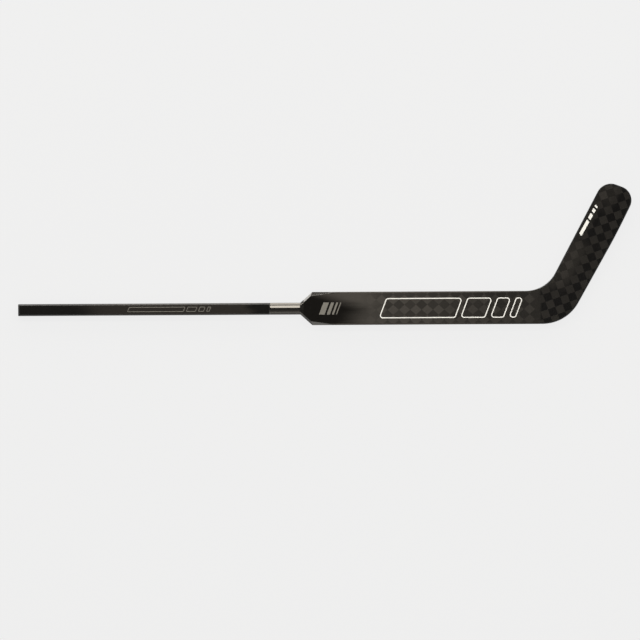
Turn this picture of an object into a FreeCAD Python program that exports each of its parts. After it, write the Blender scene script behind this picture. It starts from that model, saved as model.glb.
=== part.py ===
"""Hockey goalie stick: a hollow shaft bonded over the neck of a sandwich-built paddle and blade.

The stick lies on its flat rear face. X runs from the butt to the heel, Y towards the toe and
Z out of the striking face. The origin is the middle of the paddle's rear face.
"""
import FreeCAD
import Part
import math
import os

V = FreeCAD.Vector

# Shaft: millimetres here and below, angles in degrees
GRIP_LENGTH = 623.0
SHAFT_WIDTH = 29.5
THICKNESS = 20.0  # shaft, paddle and heel are flush with each other
SHAFT_CORNER = 5.0
SHAFT_WALL = 2.0

# Butt end cap
CAP_FLANGE = 4.0
CAP_BEVEL = 2.0
CAP_PLUG_LENGTH = 30.0
CAP_PLUG_WALL = 2.0
CAP_GROOVES = 3
CAP_GROOVE_WIDTH = 3.0
CAP_GROOVE_DEPTH = 0.6

# Neck between shaft and paddle: wide bevels on both sides of a narrow ridge
NECK_LENGTH = 77.0
NECK_RIDGE = 4.0
NECK_DROP = 2.7
NECK_BLEND = 2.0
TENON_LENGTH = 70.0
TENON_WALL = 2.5
BORE_CORNER = 3.0
GLUE_GAP = 0.1

# Paddle, from the foot of its shoulders to the corner that the rounded heel is drawn on
PADDLE_LENGTH = 660.0
PADDLE_WIDTH = 82.2
SHOULDER_RUN = 29.5
SHOULDER_BEVEL = 5.0  # this narrow bevel also runs up the edges of the neck
SHOULDER_DROP = 4.0
COLLAR_LENGTH = 8.0
FADE_WIDTH = 9.5
FADE_LENGTH = 68.0
SEAM_TO_HEEL = 68.0

# Blade, measured from the same heel corner
BLADE_LENGTH = 364.0
BLADE_WIDTH = 88.7
BLADE_WIDTH_AT = 198.0
BLADE_ANGLE = 60.6
BLADE_FLARE = 1.5
HEEL_RADIUS = 102.0
THROAT_RADIUS = 83.5
ROCKER_TO_TOE = 110.0
ROCKER_ANGLE = 3.0
ROCKER_RADIUS = 1500.0
TOE_TILT = 8.9
TOE_LOWER_RADIUS = 35.5
TOE_UPPER_RADIUS = 37.0
TOE_THICKNESS = 9.0
CURVE_START = 90.0
CURVE_RISE = 32.0
CURVE_SKEW = 10.0

# Sandwich: skins, edge rails, foam cores and the stiffeners between them
EDGE_BEVEL = 2.5
SKIN = 1.2
RAIL_FACE = 3.4
RAIL_DEPTH = 6.5
SPINE_WIDTH = 26.0
SPINE_WALL = 1.6
SPIGOT_LENGTH = 45.0
ELBOW_RADIUS = 58.0
ELBOW_REACH = 95.0
RIB_THICKNESS = 2.0
RIB_ENGAGEMENT = 25.0

# Places along the stick that follow from the sizes
X_AXIS = V(1, 0, 0)
X_ROOT = -PADDLE_LENGTH / 2
X_HEEL = PADDLE_LENGTH / 2
X_JOINT = X_ROOT - NECK_LENGTH
X_BUTT = X_JOINT - GRIP_LENGTH
X_COLLAR = X_ROOT + COLLAR_LENGTH
X_SHOULDER = X_ROOT + SHOULDER_RUN
X_SEAM = X_HEEL - SEAM_TO_HEEL
HALF_SHAFT = SHAFT_WIDTH / 2
HALF_PADDLE = PADDLE_WIDTH / 2
HALF_SPINE = SPINE_WIDTH / 2
SHOULDER_ANGLE = math.atan2(HALF_PADDLE - HALF_SHAFT, SHOULDER_RUN)
REACH = GRIP_LENGTH + PADDLE_LENGTH + BLADE_LENGTH  # longer than any piece


def direction(degrees):
    """Return the flat unit vector at an angle from the shaft's axis."""
    return V(math.cos(math.radians(degrees)), math.sin(math.radians(degrees)), 0)


def meet(point, heading, other_point, other_heading):
    """Return where two flat lines cross."""
    gap = other_point - point
    return point + heading * (gap.cross(other_heading).z / heading.cross(other_heading).z)


HEEL = V(X_HEEL, -HALF_PADDLE, 0)
ALONG = direction(BLADE_ANGLE)
ACROSS = direction(BLADE_ANGLE + 90)
BLADE_AXIS = HEEL + ACROSS * (BLADE_WIDTH / 2)
AXIS_CORNER = meet(V(0, 0, 0), X_AXIS, BLADE_AXIS, ALONG)


def rounded_face(corners):
    """Return a flat face whose outline turns (point, radius) corners with tangent arcs."""
    turns = []
    for index, (corner, radius) in enumerate(corners):
        before = (corners[index - 1][0] - corner).normalize()
        after = (corners[(index + 1) % len(corners)][0] - corner).normalize()
        half = before.getAngle(after) / 2
        reach = radius / math.tan(half)
        bisector = (before + after).normalize()
        middle = corner + bisector * (radius / math.sin(half) - radius)
        turns.append((corner + before * reach, middle, corner + after * reach))
    edges = []
    for index, (start, middle, stop) in enumerate(turns):
        if corners[index][1] > 0:
            edges.append(Part.Arc(start, middle, stop).toShape())
        edges.append(Part.makeLine(stop, turns[(index + 1) % len(turns)][0]))
    return Part.Face(Part.Wire(edges))


def upright(face):
    """Return the tall prism that stands on a flat face and passes through the whole stick."""
    low = face.translated(V(0, 0, -THICKNESS))
    return low.extrude(V(0, 0, 3 * THICKNESS + CURVE_RISE))


def block(x_low, x_high):
    """Return everything between two places along the shaft's axis."""
    size = V(x_high - x_low, 2 * REACH, 2 * REACH)
    return Part.makeBox(size.x, size.y, size.z, V(x_low, -REACH, -REACH))


def rounded_section(x, width, low, high, radius, ridge=0.0):
    """Return a rounded rectangle across the shaft's axis, from its rear edge round.

    A ridge's width, where one is given, divides the front and rear edges.
    """
    half = width / 2
    nook = radius * (1 - math.sqrt(0.5))
    sides = []
    for y_sign, z_edge, z_turn in ((1, low, 1), (1, high, -1), (-1, high, -1), (-1, low, 1)):
        flat = V(x, y_sign * (half - radius), z_edge)
        middle = V(x, y_sign * (half - nook), z_edge + z_turn * nook)
        wall = V(x, y_sign * half, z_edge + z_turn * radius)
        sides.append((flat, middle, wall))
    lower_right, upper_right, upper_left, lower_left = sides
    path = [lower_right, upper_right[::-1], upper_left, lower_left[::-1]]
    edges = []
    for index, (start, middle, stop) in enumerate(path):
        stops = [path[index - 1][2], start]
        if ridge > 0 and index % 2 == 0:
            side = math.copysign(ridge / 2, start.y)
            stops[1:1] = [V(x, -side, start.z), V(x, side, start.z)]
        edges += [Part.makeLine(*ends) for ends in zip(stops, stops[1:])]
        edges.append(Part.Arc(start, middle, stop).toShape())
    return Part.Wire(edges)


def bevelled_section(x, half_width, half_crest, drop):
    """Return a section across the shaft's axis, from its rear edge round.

    Each face is a ridge, two wide bevels that drop towards their crests, and two narrow ones.
    """
    half_ridge = NECK_RIDGE / 2
    rear = [
        (-half_crest, drop),
        (-half_ridge, 0),
        (half_ridge, 0),
        (half_crest, drop),
        (half_width, drop + SHOULDER_DROP),
    ]
    points = [V(x, y, z) for y, z in rear]
    points += [V(x, y, THICKNESS - z) for y, z in reversed(rear)]
    points.append(V(x, -half_width, THICKNESS - drop - SHOULDER_DROP))
    points.append(V(x, -half_width, drop + SHOULDER_DROP))
    return Part.makePolygon(points + points[:1])


def shaft_section(x, ridge=0.0):
    """Return the outside of the shaft."""
    return rounded_section(x, SHAFT_WIDTH, 0, THICKNESS, SHAFT_CORNER, ridge)


def shaft_bore(x, inset=0.0):
    """Return the inside of the shaft, or what fits in it with an inset all round."""
    wall = SHAFT_WALL + inset
    radius = SHAFT_CORNER - SHAFT_WALL
    return rounded_section(x, SHAFT_WIDTH - 2 * wall, wall, THICKNESS - wall, radius)


def neck_bore(x):
    """Return the bore of the tenon and the neck."""
    wall = SHAFT_WALL + GLUE_GAP + TENON_WALL
    return rounded_section(x, SHAFT_WIDTH - 2 * wall, wall, THICKNESS - wall, BORE_CORNER)


def spine_section(x, inset=0.0):
    """Return the outside of the spine between the paddle's skins, or what lies inside it."""
    low = SKIN + inset
    return rounded_section(x, SPINE_WIDTH - 2 * inset, low, THICKNESS - low, BORE_CORNER)


def run(section_wire, x_end):
    """Return the solid that carries a section along the shaft's axis to x_end."""
    start = section_wire.BoundBox.XMin
    return Part.Face(section_wire).extrude(V(x_end - start, 0, 0))


def loft(first, second):
    """Return the straight-sided solid between two sections of as many edges."""
    return Part.makeLoft([first, second], True, True)


def butt_end_cap():
    """Return the moulded cap: a bevelled flange and a hollow plug with glue grooves."""
    x_face = X_BUTT + CAP_FLANGE
    x_plug_end = x_face + CAP_PLUG_LENGTH
    flange = run(shaft_section(X_BUTT), x_face)
    rim = [edge for edge in flange.Edges if edge.BoundBox.XMax < X_BUTT + CAP_FLANGE / 2]
    flange = flange.makeChamfer(CAP_BEVEL, rim)
    plug = run(shaft_bore(x_face, GLUE_GAP), x_plug_end)
    hollow = run(shaft_bore(x_face, GLUE_GAP + CAP_PLUG_WALL), x_plug_end)
    pitch = CAP_PLUG_LENGTH / (CAP_GROOVES + 1)
    for index in range(CAP_GROOVES):
        x_groove = x_face + (index + 1) * pitch - CAP_GROOVE_WIDTH / 2
        outside = run(shaft_bore(x_groove), x_groove + CAP_GROOVE_WIDTH)
        inside = run(shaft_bore(x_groove, GLUE_GAP + CAP_GROOVE_DEPTH), x_groove + CAP_GROOVE_WIDTH)
        plug = plug.cut(outside.cut(inside))
    return flange.fuse(plug.cut(hollow)).removeSplitter()


def shaft_tube():
    """Return the hollow shaft from the cap to the neck."""
    x_start = X_BUTT + CAP_FLANGE
    return run(shaft_section(x_start), X_JOINT).cut(run(shaft_bore(x_start), X_JOINT))


def shoulder_section(x):
    """Return the paddle's section between the foot of the shoulders and their corners."""
    half_width = HALF_SHAFT + (x - X_ROOT) * math.tan(SHOULDER_ANGLE)
    half_crest = half_width - SHOULDER_BEVEL / math.cos(SHOULDER_ANGLE)
    return bevelled_section(x, half_width, half_crest, 0)


def neck_section(x):
    """Return the neck's section: a ridge between wide bevels, with narrow bevels at its edges."""
    return bevelled_section(x, HALF_SHAFT, HALF_SHAFT - SHOULDER_BEVEL, NECK_DROP)


def paddle_neck():
    """Return the tenon, the bevelled neck, its flared collar and the spine in the paddle."""
    x_tenon = X_JOINT - TENON_LENGTH
    x_ridge = X_JOINT + NECK_BLEND
    tenon = run(shaft_bore(x_tenon, GLUE_GAP), X_JOINT)
    blend = loft(shaft_section(X_JOINT, NECK_RIDGE), neck_section(x_ridge))
    neck = run(neck_section(x_ridge), X_ROOT)
    collar = loft(neck_section(X_ROOT), shoulder_section(X_COLLAR))
    spine = run(spine_section(X_COLLAR), X_SEAM)
    outside = tenon.multiFuse([blend, neck, collar, spine])
    bores = [run(neck_bore(x_tenon), X_COLLAR), run(spine_section(X_COLLAR, SPINE_WALL), X_SEAM)]
    return outside.cut(bores).removeSplitter()


def plan_face():
    """Return the paddle and blade seen from the front, with a tongue up the shaft."""
    x_tongue = X_ROOT - 2 * RAIL_DEPTH
    rocker = HEEL + ALONG * (BLADE_LENGTH - ROCKER_TO_TOE)
    top_point = HEEL + ALONG * BLADE_WIDTH_AT + ACROSS * BLADE_WIDTH
    top_heading = direction(BLADE_ANGLE + BLADE_FLARE)
    toe_point = BLADE_AXIS + ALONG * BLADE_LENGTH
    toe_heading = direction(BLADE_ANGLE + 90 + TOE_TILT)
    toe_lower = meet(rocker, direction(BLADE_ANGLE + ROCKER_ANGLE), toe_point, toe_heading)
    toe_upper = meet(top_point, top_heading, toe_point, toe_heading)
    throat = meet(V(0, HALF_PADDLE, 0), X_AXIS, top_point, top_heading)
    return rounded_face([
        (V(x_tongue, -HALF_SHAFT, 0), 0),
        (V(X_ROOT, -HALF_SHAFT, 0), 0),
        (V(X_SHOULDER, -HALF_PADDLE, 0), 0),
        (HEEL, HEEL_RADIUS),
        (rocker, ROCKER_RADIUS),
        (toe_lower, TOE_LOWER_RADIUS),
        (toe_upper, TOE_UPPER_RADIUS),
        (throat, THROAT_RADIUS),
        (V(X_SHOULDER, HALF_PADDLE, 0), 0),
        (V(X_ROOT, HALF_SHAFT, 0), 0),
        (V(x_tongue, HALF_SHAFT, 0), 0),
    ])


def slab(inset):
    """Return all that lies between the front and rear surfaces, each drawn in by an inset.

    Both are flat up to the line where the blade begins to curve, and arcs tangent to the flat
    beyond it. The line is skewed, so that the face opens a little towards the toe.
    """
    bend = direction(BLADE_ANGLE - CURVE_SKEW)
    fold = direction(BLADE_ANGLE - CURVE_SKEW + 90)
    curve = BLADE_LENGTH - CURVE_START
    front_rise = CURVE_RISE + TOE_THICKNESS - THICKNESS
    rear_radius = (curve ** 2 + CURVE_RISE ** 2) / (2 * CURVE_RISE)
    front_radius = (curve ** 2 + front_rise ** 2) / (2 * front_rise)

    def place(distance, height):
        return HEEL - fold * REACH + bend * (CURVE_START + distance) + V(0, 0, height)

    def rear(distance):
        height = rear_radius - math.sqrt((rear_radius - inset) ** 2 - distance ** 2)
        return place(distance, height)

    def front(distance):
        height = THICKNESS + front_radius - math.sqrt((front_radius + inset) ** 2 - distance ** 2)
        return place(distance, height)

    past_toe = curve + BLADE_WIDTH / 2
    edges = [
        Part.makeLine(place(-REACH, inset), rear(0)),
        Part.Arc(rear(0), rear(past_toe / 2), rear(past_toe)).toShape(),
        Part.makeLine(rear(past_toe), front(past_toe)),
        Part.Arc(front(past_toe), front(past_toe / 2), front(0)).toShape(),
        Part.makeLine(front(0), place(-REACH, THICKNESS - inset)),
        Part.makeLine(place(-REACH, THICKNESS - inset), place(-REACH, inset)),
    ]
    return Part.Face(Part.Wire(edges)).extrude(fold * (2 * REACH))


def beyond(first, second, third):
    """Return a large block whose base lies on the plane through three points."""
    normal = (second - first).cross(third - first).normalize()
    base = Part.makeBox(2 * REACH, 2 * REACH, REACH, V(-REACH, -REACH, 0))
    base.Placement = FreeCAD.Placement(first, FreeCAD.Rotation(V(0, 0, 1), normal))
    return base


def shoulder_bevels():
    """Return what the bevels take off the shoulders, front and rear, and off the edges below."""
    wall = THICKNESS - SHOULDER_DROP
    foot = V(X_ROOT, HALF_SHAFT, wall)
    corner = V(X_SHOULDER, HALF_PADDLE, wall)
    inward = V(math.sin(SHOULDER_ANGLE), -math.cos(SHOULDER_ANGLE), 0)
    crest = foot + inward * SHOULDER_BEVEL + V(0, 0, SHOULDER_DROP)
    fade_crest = V(X_SHOULDER, HALF_PADDLE - FADE_WIDTH, THICKNESS)
    fade_end = V(X_SHOULDER + FADE_LENGTH, HALF_PADDLE, THICKNESS)
    zone = block(X_ROOT, X_SHOULDER + FADE_LENGTH)
    cutters = []
    for plane in ((foot, crest, corner), (corner, fade_crest, fade_end)):
        upper = beyond(*plane).common(zone)
        lower = upper.mirror(V(0, 0, 0), V(0, 1, 0))
        cutters += [upper, lower]
    rear = [cutter.mirror(V(0, 0, THICKNESS / 2), V(0, 0, 1)) for cutter in cutters]
    return cutters + rear


def along_bend_line(edge):
    """Tell whether an edge is the line on a face where the blade begins to curve."""
    bend = direction(BLADE_ANGLE - CURVE_SKEW)
    ends = [(vertex.Point - HEEL).dot(bend) for vertex in edge.Vertexes]
    return all(abs(end - CURVE_START) < GLUE_GAP for end in ends)


def outer_body(plan):
    """Return the paddle and blade as one bevelled body, from the collar to the toe."""
    body = upright(plan).common(slab(0)).common(block(X_COLLAR, REACH))
    rim = []
    for edge in body.Edges:
        box = edge.BoundBox
        is_upright = math.hypot(box.XLength, box.YLength) < EDGE_BEVEL / 2
        if not is_upright and box.Center.x > X_SHOULDER and not along_bend_line(edge):
            rim.append(edge)
    return body.makeChamfer(EDGE_BEVEL, rim).cut(shoulder_bevels())


def spine_band():
    """Return the plan of the spine and of the elbow that carries it round into the blade."""
    x_start = X_COLLAR - RAIL_DEPTH
    side = ACROSS * HALF_SPINE
    arm_end = AXIS_CORNER + ALONG * ELBOW_REACH
    outer = meet(V(0, -HALF_SPINE, 0), X_AXIS, BLADE_AXIS - side, ALONG)
    inner = meet(V(0, HALF_SPINE, 0), X_AXIS, BLADE_AXIS + side, ALONG)
    return rounded_face([
        (V(x_start, -HALF_SPINE, 0), 0),
        (outer, ELBOW_RADIUS + HALF_SPINE),
        (arm_end - side, 0),
        (arm_end + side, 0),
        (inner, ELBOW_RADIUS - HALF_SPINE),
        (V(x_start, HALF_SPINE, 0), 0),
    ])


def rib_strip():
    """Return the plan of the blade's rib, from inside the elbow to past the toe."""
    start = AXIS_CORNER + ALONG * (ELBOW_REACH - RIB_ENGAGEMENT)
    stop = start + ALONG * BLADE_LENGTH
    side = ACROSS * (RIB_THICKNESS / 2)
    return rounded_face([(start - side, 0), (stop - side, 0), (stop + side, 0), (start + side, 0)])


def toe_side():
    """Return everything on the toe's side of the line along the middle of paddle and blade."""
    far = AXIS_CORNER + ALONG * REACH
    points = [V(-REACH, 0, 0), AXIS_CORNER, far, V(-REACH, far.y, 0)]
    return upright(Part.Face(Part.makePolygon(points + points[:1])))


def by_height(shape):
    """Return a shape's solids from the rear one to the front one."""
    return sorted(shape.Solids, key=lambda solid: solid.CenterOfMass.z)


def sandwich():
    """Return the paddle's and blade's skins, rails, cores, rib and heel block by name."""
    plan = plan_face()
    body = outer_body(plan)
    inside = slab(SKIN)
    skins = body.common(upright(plan.makeOffset2D(-RAIL_FACE, 2))).cut(inside)
    core = body.common(inside).common(upright(plan.makeOffset2D(-RAIL_DEPTH, 2)))
    rails = body.cut([skins, core])
    band = upright(spine_band())
    rib = core.common(upright(rib_strip()))
    foam = core.cut([band, rib])
    elbow = core.common(band).common(block(X_SEAM, REACH)).cut(rib)
    spigot = run(spine_section(X_SEAM - SPIGOT_LENGTH, SPINE_WALL + GLUE_GAP), X_SEAM)
    rear_skin, front_skin = by_height(skins)
    upper = toe_side()
    pieces = {"heel_block": elbow.fuse(spigot), "blade_rib": rib}
    for side, zone in (("paddle", block(-REACH, X_SEAM)), ("blade", block(X_SEAM, REACH))):
        pieces[side + "_front_skin"] = front_skin.common(zone)
        pieces[side + "_rear_skin"] = rear_skin.common(zone)
        for name, layer in (("rail", rails.common(zone)), ("core", foam.common(zone))):
            pieces[side + "_upper_" + name] = layer.common(upper)
            pieces[side + "_lower_" + name] = layer.cut(upper)
    return pieces


def main():
    """Build every piece and write it under its own name."""
    pieces = {
        "butt_end_cap": butt_end_cap(),
        "shaft_tube": shaft_tube(),
        "paddle_neck": paddle_neck(),
    }
    pieces.update(sandwich())
    os.makedirs("parts", exist_ok=True)
    for name, shape in pieces.items():
        solid = shape.Solids[0] if len(shape.Solids) == 1 else shape
        print(name, len(shape.Solids), solid.isValid(), round(solid.Volume / 1000, 1), "cm3")
        solid.exportStep(f"parts/{name}.step")


main()
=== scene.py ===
"""Composite hockey goalie stick: the looks of its pieces, laid out as a Blender add-on.

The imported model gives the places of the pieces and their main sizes. Everything is in metres.
X runs from the butt to the heel, Y towards the toe and Z out of the striking face.
"""
import math

import bmesh
import bpy
from mathutils import Matrix, Vector


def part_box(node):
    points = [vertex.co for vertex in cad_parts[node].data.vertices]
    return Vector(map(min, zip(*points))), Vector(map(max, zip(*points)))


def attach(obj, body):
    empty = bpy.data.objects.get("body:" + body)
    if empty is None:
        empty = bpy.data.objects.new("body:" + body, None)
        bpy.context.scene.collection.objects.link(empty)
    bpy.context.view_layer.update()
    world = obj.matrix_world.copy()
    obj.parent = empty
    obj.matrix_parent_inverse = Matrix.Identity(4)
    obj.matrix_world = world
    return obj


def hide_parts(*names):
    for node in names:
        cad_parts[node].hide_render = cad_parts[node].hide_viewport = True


bl_info = {
    "name": "Goalie Stick Looks",
    "version": (1, 0, 0),
    "blender": (4, 5, 0),
    "location": "3D View > Sidebar > Goalie Stick",
    "description": "Builds the visible pieces, finishes and studio of a composite hockey goalie stick",
    "category": "Object",
}

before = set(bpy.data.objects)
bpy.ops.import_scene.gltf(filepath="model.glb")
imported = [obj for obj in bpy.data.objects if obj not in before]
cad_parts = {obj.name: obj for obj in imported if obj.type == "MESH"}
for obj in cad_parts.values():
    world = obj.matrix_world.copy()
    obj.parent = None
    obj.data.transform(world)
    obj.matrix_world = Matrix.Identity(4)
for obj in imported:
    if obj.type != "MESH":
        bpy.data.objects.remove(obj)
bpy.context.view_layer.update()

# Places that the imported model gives
SHAFT_LOW, SHAFT_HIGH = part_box("shaft_tube")
CAP_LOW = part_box("butt_end_cap")[0]
THICKNESS = SHAFT_HIGH.z
HALF_SHAFT = SHAFT_HIGH.y
X_JOINT = SHAFT_HIGH.x
X_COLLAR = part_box("paddle_upper_rail")[0].x
X_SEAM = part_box("paddle_upper_rail")[1].x
HALF_PADDLE = -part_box("paddle_lower_rail")[0].y

# Fineness of the meshes
ARC_STEP = math.radians(2.5)
LEAST_ARC_STEPS = 6
BEND_STEP = 0.008
CORNER_STEPS = 8
ROUND_STEPS = 4
CREST_STEPS = 3
END_STEPS = 2
SHARP_ANGLE = math.radians(28)
MERGE = 1e-6

# Faces of the paddle and blade are marked by the piece that they belong to
RAIL, BEVEL, FRONT, REAR = range(4)

UP = Vector((0, 0, 1))

# A face counts as flat when this share of its normal points up or down
FLAT_SHARE = 0.999

# The neck's crests turn sharp within this share of the shoulder bevel's width from the collar
SHARPEN_SHARE = 0.8

# Middles of a light tow on the front, and how the paddle's weave is drawn out along the stick
PADDLE_CROSSING = (0.2385, -0.0041)
PADDLE_STRETCH = (1.033, 0.927)
BLADE_CROSSING = (0.4477, 0.2034)
WOVEN_FINISH = {"specular_ior_level": 0.15, "coat_weight": 0.15, "coat_roughness": 0.2}

# Depth of the weave and of the grain
WEAVE_HEIGHT = 0.00006
GRIP_HEIGHT = 0.00003
RUBBER_HEIGHT = 0.00005

# Fineness of the textures, in waves to the metre along, across and through the stick
STREAK_WAVES = (6.0, 110.0, 0.0)
GRIP_WAVES = (9.0, 60.0, 60.0)
RAIL_WAVES = (12.0, 900.0, 900.0)
NECK_WAVES = (14.0, 800.0, 800.0)
SCRATCH_WAVES = (60.0, 1400.0, 1400.0)
CLOUD_WAVES = (14.0, 14.0, 14.0)
GRAIN_WAVES = (1500.0, 1500.0, 1500.0)
PRINT_WAVES = (420.0, 420.0, 420.0)

# Each tow's fibres in waves along and across it, and its seam, crown and fibre height as shares of it
FIBRES_ALONG = 1.2
FIBRES_ACROSS = 46.0
SEAM_SHARE = 0.035
CROWN_SHARE = 0.3
FIBRE_SHARE = 0.12

# Roughness of the finishes, with its lowest and highest value where it varies
LACQUER_ROUGHNESS = 0.30
FOAM_ROUGHNESS = 0.9
WEAVE_ROUGHNESS = (0.32, 0.42)
GRIP_ROUGHNESS = (0.24, 0.34)
NECK_ROUGHNESS = (0.06, 0.30)
RUBBER_ROUGHNESS = (0.50, 0.66)
RAIL_ROUGHNESS = 0.26
RAIL_RUB = 0.3
INK_ROUGHNESS = {"white": 0.45, "grey": 0.4}
INK_SPREAD = 0.06

# Where the finishes change along the stick: start and end of a change, or of a rise and a fall
# Painted sheen: the paddle's tows grow lighter from the heel towards the shoulders
SHEEN_ALONG_PADDLE = (0.20, -0.10)
DARK_SEAM = (X_SEAM - 0.015, X_SEAM)
# The black lacquer thins out into a painted sheen, then into the bare weave
LACQUER_TO_SHEEN = (-0.228, -0.115)
BARE_WEAVE = (-0.165, -0.075)
THICK_COAT = (-0.235, -0.275)
LIGHT_RAILS = ((-0.26, -0.22), (0.24, 0.08))
# Painted light: the grip turns lighter along the middle of the shaft
GRIP_LIGHT_BAND = ((-0.90, -0.78), (-0.44, -0.48))
BLADE_SEAM = (X_SEAM + 0.008, X_SEAM)

# The same along the blade from the heel, and across it from the lower edge, where a painted sheen makes
# the tows lighter towards the upper edge
BLADE_MIDDLE = ((0.05, 0.11), (0.22, 0.17))
BLADE_TOE = (0.27, 0.33)
BLADE_RIM = (0.045, 0.070)
SHEEN_ACROSS = (0.042, 0.068)
DARK_SHEEN_ACROSS = (0.034, 0.054)
RIM_SHEEN_ACROSS = (0.060, 0.076)

# How far the toe and the upper rim follow that painted sheen
PART_SHARE = 0.85

# How far the edge of the grip's painted light drifts, length of the lacquer's streaks, and slants of its
# end to both edges
GRIP_DRIFT = 0.10
STREAK = 0.05
UPPER_SLANT = 3.0
LOWER_SLANT = -0.6

# Printed rows of ever narrower slanted bars: places along and across, and the line's width if outlined
MARKS = {
    "paddle_bars": {
        "slot": "paddle_weave", "ink": "white", "line": 0.0024,
        "start": -0.136, "low": -0.025, "high": 0.025, "lean": 0.019, "corner": 0.007,
        "widths": (0.190, 0.062, 0.034, 0.018), "gap": 0.012,
    },
    "shoulder_bars": {
        "slot": "paddle_weave", "ink": "grey", "line": 0.0,
        "start": -0.284, "low": -0.015, "high": 0.015, "lean": 0.011, "corner": 0.001,
        "widths": (0.014, 0.008, 0.005, 0.0025), "gap": 0.005,
    },
    "shaft_bars": {
        "slot": "shaft_grip", "ink": "grey", "line": 0.0013,
        "start": -0.760, "low": -0.006, "high": 0.006, "lean": 0.005, "corner": 0.002,
        "widths": (0.140, 0.024, 0.014, 0.008), "gap": 0.006,
    },
    "blade_bars": {
        "slot": "blade_weave", "ink": "white", "line": 0.0,
        "start": 0.208, "low": 0.0735, "high": 0.0815, "lean": 0.003, "corner": 0.0015,
        "widths": (0.040, 0.014, 0.009, 0.005), "gap": 0.005,
    },
}


def length(label, default, description):
    """Return a property that holds a length."""
    return bpy.props.FloatProperty(
        name=label, default=default, description=description, min=0.0, precision=5,
        subtype="DISTANCE", unit="LENGTH")


def angle(label, degrees, description):
    """Return a property that holds an angle."""
    return bpy.props.FloatProperty(
        name=label, default=math.radians(degrees), description=description,
        subtype="ANGLE", unit="ROTATION")


def colour(label, default, description):
    """Return a property that holds a colour."""
    return bpy.props.FloatVectorProperty(
        name=label, default=default, description=description, min=0.0, max=1.0, size=3,
        subtype="COLOR")


class StickSizes(bpy.types.PropertyGroup):
    """Sizes of the stick's outline, blade curve, edges and markings."""

    shaft_corner: length("Shaft corner", 0.005, "Radius of the shaft's long corners")
    cap_flange: length("Cap flange", 0.004, "Part of the end cap that stands out of the shaft")
    cap_rim: length("Cap rim", 0.002, "Rounding of the end cap's rim")
    neck_blend: length("Neck blend", 0.002, "Length over which the shaft's section turns into the neck's")
    neck_ridge: length("Neck ridge", 0.004, "Width of the flat ridge along the middle of the neck")
    neck_drop: length("Neck drop", 0.0027, "Depth of the neck's wide bevels")
    neck_edge: length("Neck edge", 0.0006, "Rounding of the neck's ridge, the crests and the grip's ends")
    neck_side: length("Neck side", 0.0012, "Rounding between the neck's bevels and its sides")
    neck_crest: length("Neck crest", 0.0022, "Rounding between the neck's wide and narrow bevels")
    paddle_length: length("Paddle length", 0.660, "From the foot of the shoulders to the heel corner")
    shoulder_run: length("Shoulder run", 0.0295, "Length of the shoulders along the shaft")
    shoulder_bevel: length("Shoulder bevel", 0.005, "Width of the bevel along each shoulder")
    shoulder_drop: length("Shoulder drop", 0.004, "Depth of the shoulder bevel at the edge")
    fade_width: length("Fade width", 0.0095, "Width of the facet below the shoulder corner")
    fade_length: length("Fade length", 0.068, "Length over which that facet runs out")
    blade_length: length("Blade length", 0.364, "From the heel corner to the toe")
    blade_width: length("Blade width", 0.0887, "Width of the blade")
    blade_width_at: length("Blade width at", 0.198, "Distance from the heel where the width is taken")
    blade_angle: angle("Blade angle", 60.6, "Turn from the shaft to the blade's lower edge")
    blade_flare: angle("Blade flare", 1.5, "Turn from the lower edge to the upper edge")
    heel_radius: length("Heel radius", 0.102, "Radius of the heel")
    throat_radius: length("Throat radius", 0.0835, "Radius of the throat between paddle and blade")
    rocker_to_toe: length("Rocker to toe", 0.110, "Length of the edge that rises towards the toe")
    rocker_angle: angle("Rocker angle", 3.0, "Rise of the lower edge towards the toe")
    rocker_radius: length("Rocker radius", 1.5, "Radius of the lower edge where it starts to rise")
    toe_tilt: angle("Toe tilt", 8.9, "Lean of the toe")
    toe_lower_radius: length("Lower toe radius", 0.0355, "Radius of the lower corner of the toe")
    toe_upper_radius: length("Upper toe radius", 0.037, "Radius of the upper corner of the toe")
    toe_thickness: length("Toe thickness", 0.009, "Thickness of the blade at the toe")
    curve_start: length("Curve start", 0.090, "Distance from the heel where the blade starts to curve")
    curve_rise: length("Curve rise", 0.032, "Height of the rear face at the toe")
    curve_skew: angle("Curve skew", 10.0, "Turn of the curve against the blade")
    rim_radius: length("Rim radius", 0.0025, "Rounding of the edges of paddle and blade")
    rail_face: length("Rail face", 0.0034, "Width of the edge rail seen from the front")
    skin: length("Skin", 0.0012, "Thickness of the skins and shells")
    tow_width: length("Tow width", 0.0193, "Width of the woven carbon tows")
    paddle_tow_angle: angle("Paddle tow angle", 45.0, "Turn from the shaft to the paddle's tows")
    blade_tow_angle: angle("Blade tow angle", 18.75, "Turn from the shaft to the blade's tows")
    core_cell: length("Core cell", 0.0011, "Size of the cells in the foam cores")
    heel_cell: length("Heel cell", 0.0006, "Size of the cells in the heel block")
    ink: length("Ink", 0.00006, "Thickness of the printed markings")


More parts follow.
